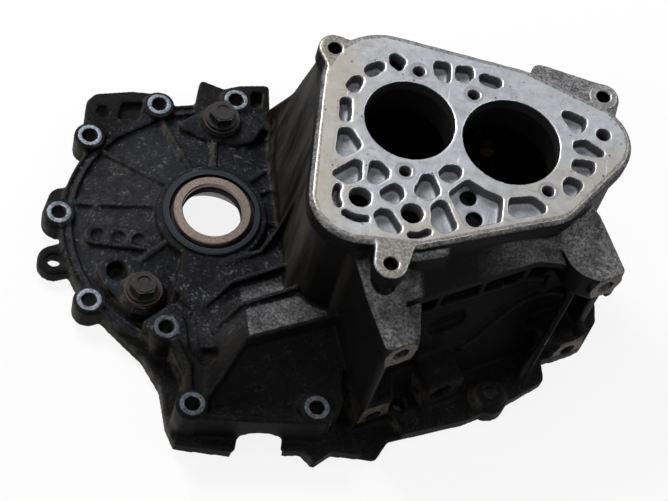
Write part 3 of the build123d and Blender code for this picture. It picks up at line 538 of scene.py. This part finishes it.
    def end_face(self):
        """Milled grey, stained towards the left edge, scored, pitted, and dirty along its rim."""
        bright = self.mix(self.noise(150, 5, 0.7).ramp(0.3, 0.7), MILLED_DARK, MILLED_PALE)
        bright = self.mix(self.cloud.ramp(0.35, 0.65) * 0.35, bright, MILLED_CLOUD)
        stained = (1.0 - self.across.ramp(66, 100)).most(self.out.ramp(88, 114) * 0.8)
        bright = self.mix(stained * self.broad.ramp(0.30, 0.55) * 0.65, bright, GASKET_STAIN)
        pit = 1.0 - self.cells(150).ramp(0.10, 0.17)
        bright = self.mix(pit * self.blotch.ramp(0.48, 0.56) * 0.85, bright, PIT)
        scored = self.noise(300, 4, 0.7, stretch=(0.12, 1, 1))
        bright = self.mix(scored.ramp(0.60, 0.68) * 0.5, bright, SCORE)
        scratched = self.noise(260, 4, 0.7, stretch=(1, 0.1, 1)).ramp(0.64, 0.70)
        bright = self.mix(scratched * self.cloud.ramp(0.45, 0.6) * 0.8, bright, SCRATCH)
        bright = self.mix(self.round_spot(TAPPED_SPOTS, 7.2, 0.3) * 0.6, bright, TAPPED_RING)
        rim = 1.0 - self.inside_plate(3.2)
        return self.mix(rim * (0.45 + 0.55 * self.grit.ramp(0.42, 0.58)) * 0.9, bright, RIM_DIRT)

    def pockets(self, colour):
        """Clean grey pocket floors with rings of old oil, dull pocket walls, and bore walls painted black as
        painted shade.
        """
        within = self.inside_plate(2.6)
        floor = self.high.band(POCKET_FLOOR - 1.5, POCKET_FLOOR + 1.6, 0.8) * self.nz.ramp(0.5, 0.9) * within
        from_out = ((self.across - OUT[0]) ** 2.0 + (self.deep - OUT[1]) ** 2.0) ** 0.5
        shade = self.blotch.ramp(0.3, 0.7) * 0.7 + from_out.ramp(40, 90) * 0.3
        wave = self.node("Math", 0, {"operation": "SINE"}, Value=self.noise(70, 1, 0.3) * 70.0)
        grey = self.mix(shade, POCKET_DARK, POCKET_PALE)
        grey = self.mix(wave.ramp(0.75, 0.95) * 0.35, grey, OIL_RING)
        colour = self.mix(floor, colour, grey)
        upright = 1.0 - self.nz.size().ramp(0.3, 0.6)
        colour = self.mix(self.high.band(151, 159, 0.8) * upright * within * 0.8, colour, POCKET_WALL)
        bored = self.round_spot([OUT], OUT_BORE + 0.6, 0.2).most(self.round_spot([INP], INP_BORE + 0.65, 0.2))
        # Painted shade: the bore walls are made black.
        colour = self.mix(bored * (1.0 - self.machined) * 0.85, colour, BORE_SHADE_BLACK)
        return colour, floor

    def cut_faces(self, colour):
        """Spot faces under the bolt heads and pads of the bracket face, cut bright and then stained."""
        chatter = (self.grit * 0.6 + self.blotch * 0.4).ramp(0.38, 0.62)
        tall_boss = self.high.ramp(34, 36)
        bright_spots = [(x, y) for x, y, _ in SPOT_FACES[:BRIGHT_SPOT_FACES]]
        ring = self.round_spot(bright_spots, 8.7, 0.25) * (self.nz > 0.93) * (1.0 - self.high.ramp(50, 55))
        colour = self.mix(ring * (0.2 + 0.6 * chatter) * (1.0 - tall_boss * 0.55), colour, SPOT_FACE_CUT)
        _, facing_out = turned(self.nx, self.ny)
        pad = self.out.band(BRACKET_OFFSET - 0.6, BRACKET_OFFSET + 0.6, 0.2)
        pad = pad * (facing_out > 0.93) * self.high.ramp(13, 14)
        colour = self.mix(pad, colour, self.mix(chatter, PAD_DARK, PAD_PALE))
        return colour, ring * (0.7 - tall_boss * 0.5), pad

    def build(self):
        """Joins the parts into one material."""
        dry_and_lit = self.dryness_and_top_light()
        cast = self.wall_film_and_side_light(self.cast_skin(dry_and_lit))
        colour, floor = self.pockets(self.mix(self.machined, cast, self.end_face()))
        colour, ring_metal, pad = self.cut_faces(colour)
        metal = self.machined.most(ring_metal).most(floor * 0.35).most(pad * 0.5)
        cast_rough = self.between(dry_and_lit, self.between(self.broad, 0.38, 0.62), 0.85)
        rough = self.between(floor, self.between(self.machined, cast_rough, 0.36), 0.5)
        height = self.fine * 0.35 + self.grit * 0.65 + self.blotch * 0.8
        height = height * (1.0 - self.machined * 0.92) * (1.0 - floor * 0.7)
        normal = self.bump(height, strength=0.45, distance=0.0009)
        self.shader.inputs["Specular IOR Level"].default_value = 0.03
        return self.surface(Base_Color=colour, Metallic=metal * 0.9, Roughness=rough, Normal=normal)


CAST_ALUMINIUM = CastingFinish().build()
paint(casting, CAST_ALUMINIUM)
print("casting finish nodes:", len(CAST_ALUMINIUM.node_tree.nodes))

# %% [markdown]
# ## Seal, race and plugs

# %% Small finishes
RUST = (0.16, 0.06, 0.025)


def plain_finish(name, dark, pale, rough, rust=0.0):
    """Fine-grained steel or rubber with stains and rubbed edges."""
    m = Finish(name)
    grain = m.noise(600, 4, 0.6)
    stain = m.noise(90, 4, 0.65)
    base = m.mix(grain.ramp(0.3, 0.7), dark, pale)
    colour = m.mix(stain.ramp(0.45, 0.65) * rust, base, RUST)
    rubbed = tuple(min(1.0, part * 1.8 + 0.05) for part in pale)
    colour = m.mix(m.edges(0.0008).ramp(0.05, 0.3) * 0.5, colour, rubbed)
    roughness = m.between(stain, rough, rough + 0.2)
    return m.surface(Base_Color=colour, Metallic=0.7, Roughness=roughness, Normal=m.bump(grain, 0.25, 0.0003))


# Each piece: finish name, darkest and palest colour, roughness, share of rust.
SMALL_PIECES = {
    "seal_case": ("seal_case_steel", (0.003, 0.004, 0.006), (0.010, 0.014, 0.020), 0.32, 0.0),
    "seal_rubber": ("seal_black_rubber", (0.004, 0.004, 0.004), (0.012, 0.012, 0.012), 0.5, 0.0),
    "seal_dust_ring": ("seal_brown_ring", (0.085, 0.062, 0.052), (0.175, 0.142, 0.130), 0.3, 0.12),
    "garter_spring": ("garter_steel", (0.3, 0.3, 0.3), (0.5, 0.5, 0.5), 0.3, 0.0),
    "bearing_race": ("ground_steel", (0.10, 0.10, 0.10), (0.20, 0.20, 0.20), 0.3, 0.0),
    "preload_shim": ("shim_steel", (0.35, 0.35, 0.35), (0.5, 0.5, 0.5), 0.3, 0.0),
    "upper_plug": ("plug_steel", (0.006, 0.006, 0.007), (0.018, 0.0175, 0.019), 0.4, 0.06),
    "lower_plug": ("rusty_plug_steel", (0.004, 0.004, 0.004), (0.012, 0.0115, 0.0115), 0.4, 0.05),
    "upper_plug_washer": ("washer_steel", (0.007, 0.007, 0.007), (0.022, 0.021, 0.020), 0.45, 0.1),
    "lower_plug_washer": ("rusty_washer_steel", (0.009, 0.007, 0.007), (0.028, 0.022, 0.018), 0.45, 0.2),
    "reverse_idler_bolt": ("idler_bolt_steel", (0.03, 0.023, 0.018), (0.085, 0.066, 0.052), 0.45, 0.3),
}
for piece_name, recipe in SMALL_PIECES.items():
    paint(NODES[piece_name], plain_finish(*recipe))
print("small finishes:", len(SMALL_PIECES))

# %% [markdown]
# ## Floor, light and camera

# %% Stage
FLOOR_HALF_WIDTH = 6.0
FLOOR_WHITE = 0.86  # share of plain white that the eye sees in the floor
SKY_LIGHT = 0.33  # strength of the even light from all round
SHADE_LIFT = 0.0003
LAMP_AIM = Vector((0, 0, 0.06))


def seen_by_eye(tree, share=1.0):
    """`share` for rays that come from the camera, gloss or glass, and nothing for light itself."""
    path = tree.nodes.new("ShaderNodeLightPath")
    total = path.outputs["Is Camera Ray"]
    for other in ("Is Glossy Ray", "Is Transmission Ray"):
        either = tree.nodes.new("ShaderNodeMath")
        either.operation = "MAXIMUM"
        tree.links.new(total, either.inputs[0])
        tree.links.new(path.outputs[other], either.inputs[1])
        total = either.outputs[0]
    scaled = tree.nodes.new("ShaderNodeMath")
    scaled.operation = "MULTIPLY"
    tree.links.new(total, scaled.inputs[0])
    scaled.inputs[1].default_value = share
    return scaled.outputs[0]


def stage_piece(name, mesh, grey, rough=0.5):
    """A plain grey thing that belongs to the setting and not to the part."""
    thing = bpy.data.objects.new(name, mesh)
    bpy.context.scene.collection.objects.link(thing)
    material = bpy.data.materials.new(name)
    material.use_nodes = True
    shader = material.node_tree.nodes["Principled BSDF"]
    shader.inputs["Base Color"].default_value = (grey, grey, grey, 1)
    shader.inputs["Roughness"].default_value = rough
    shader.inputs["Specular IOR Level"].default_value = 0.0
    mesh.materials.append(material)
    return material.node_tree


def shade_patch(name, circles):
    """A flat patch of plain floor, hulled round some circles, where the case keeps light out."""
    rim = []
    for turn in range(0, 360, 6):
        way = Vector((math.cos(math.radians(turn)), math.sin(math.radians(turn))))
        x, y, radius = max(circles, key=lambda c: way.x * c[0] + way.y * c[1] + c[2])
        spot = at(x + way.x * radius, y + way.y * radius, 0)
        rim.append((spot.x, spot.y, SHADE_LIFT))
    mesh = bpy.data.meshes.new(name)
    mesh.from_pydata(rim, [], [list(range(len(rim)))])
    stage_piece(name, mesh, 0.3)


def soft_lamp(name, spot, size, watts):
    """A square studio lamp at a spot, aimed at the case."""
    lamp = bpy.data.lights.new(name, "AREA")
    lamp.shape = "SQUARE"
    lamp.size = size
    lamp.energy = watts
    holder = bpy.data.objects.new(name, lamp)
    bpy.context.scene.collection.objects.link(holder)
    holder.location = spot
    holder.rotation_euler = (LAMP_AIM - Vector(spot)).to_track_quat("-Z", "Y").to_euler()


# %% Floor
floor_mesh = bpy.data.meshes.new("floor")
floor_maker = bmesh.new()
bmesh.ops.create_grid(floor_maker, x_segments=1, y_segments=1, size=FLOOR_HALF_WIDTH)
floor_maker.to_mesh(floor_mesh)
floor_maker.free()
floor_tree = stage_piece("floor", floor_mesh, 0.86, 0.9)
# The camera and gloss see it mostly as white, with the case's shadow left in.
white = floor_tree.nodes.new("ShaderNodeEmission")
seen_floor = floor_tree.nodes.new("ShaderNodeMixShader")
floor_tree.links.new(seen_by_eye(floor_tree, FLOOR_WHITE), seen_floor.inputs[0])
floor_tree.links.new(floor_tree.nodes["Principled BSDF"].outputs[0], seen_floor.inputs[1])
floor_tree.links.new(white.outputs[0], seen_floor.inputs[2])
floor_tree.links.new(seen_floor.outputs[0], floor_tree.nodes["Material Output"].inputs[0])
shade_patch("shade_in_gear_case", PLATE_CORNERS)
shade_patch("shade_under_bolt_hole", [(LOW_BOLT[0], LOW_BOLT[1], 11.0)])
print("floor and shade patches laid")

# %% Light
world = bpy.data.worlds.new("studio")
bpy.context.scene.world = world
world.use_nodes = True
world.node_tree.nodes.clear()
background = world.node_tree.nodes.new("ShaderNodeBackground")
level = world.node_tree.nodes.new("ShaderNodeMapRange")
world_out = world.node_tree.nodes.new("ShaderNodeOutputWorld")
world.node_tree.links.new(seen_by_eye(world.node_tree), level.inputs["Value"])
level.inputs["To Min"].default_value = SKY_LIGHT
level.inputs["To Max"].default_value = 1.0
background.inputs["Color"].default_value = (1, 1, 1, 1)
world.node_tree.links.new(level.outputs[0], background.inputs["Strength"])
world.node_tree.links.new(background.outputs[0], world_out.inputs[0])
soft_lamp("key", (-0.75, 0.9, 1.3), 0.55, 23)
soft_lamp("fill", (-1.3, -0.9, 1.0), 1.2, 8)
soft_lamp("rim", (1.3, 0.6, 0.9), 1.0, 7)
print("lamps:", len(bpy.data.lights))

# %% Camera
CAMERA_SPOT = Vector((-0.1237, -0.7324, 1.2511))
CAMERA_AIM = Vector((-0.0009, -0.0167, 0.0800))
CAMERA_ROLL = math.radians(20.0)
SENSOR_WIDTH, FOCAL_LENGTH = 36.0, 107.5  # mm
lens = bpy.data.cameras.new("camera")
lens.sensor_width = SENSOR_WIDTH
lens.lens = FOCAL_LENGTH
lens.clip_start = 0.05
lens.clip_end = 50.0
camera = bpy.data.objects.new("camera", lens)
bpy.context.scene.collection.objects.link(camera)
camera.location = CAMERA_SPOT
aim = (CAMERA_AIM - CAMERA_SPOT).to_track_quat("-Z", "Y")
camera.rotation_euler = (aim @ Quaternion((0, 0, 1), CAMERA_ROLL)).to_euler()
bpy.context.scene.camera = camera
bpy.context.scene.view_settings.view_transform = "Standard"
print("camera at", [round(v, 3) for v in camera.location])
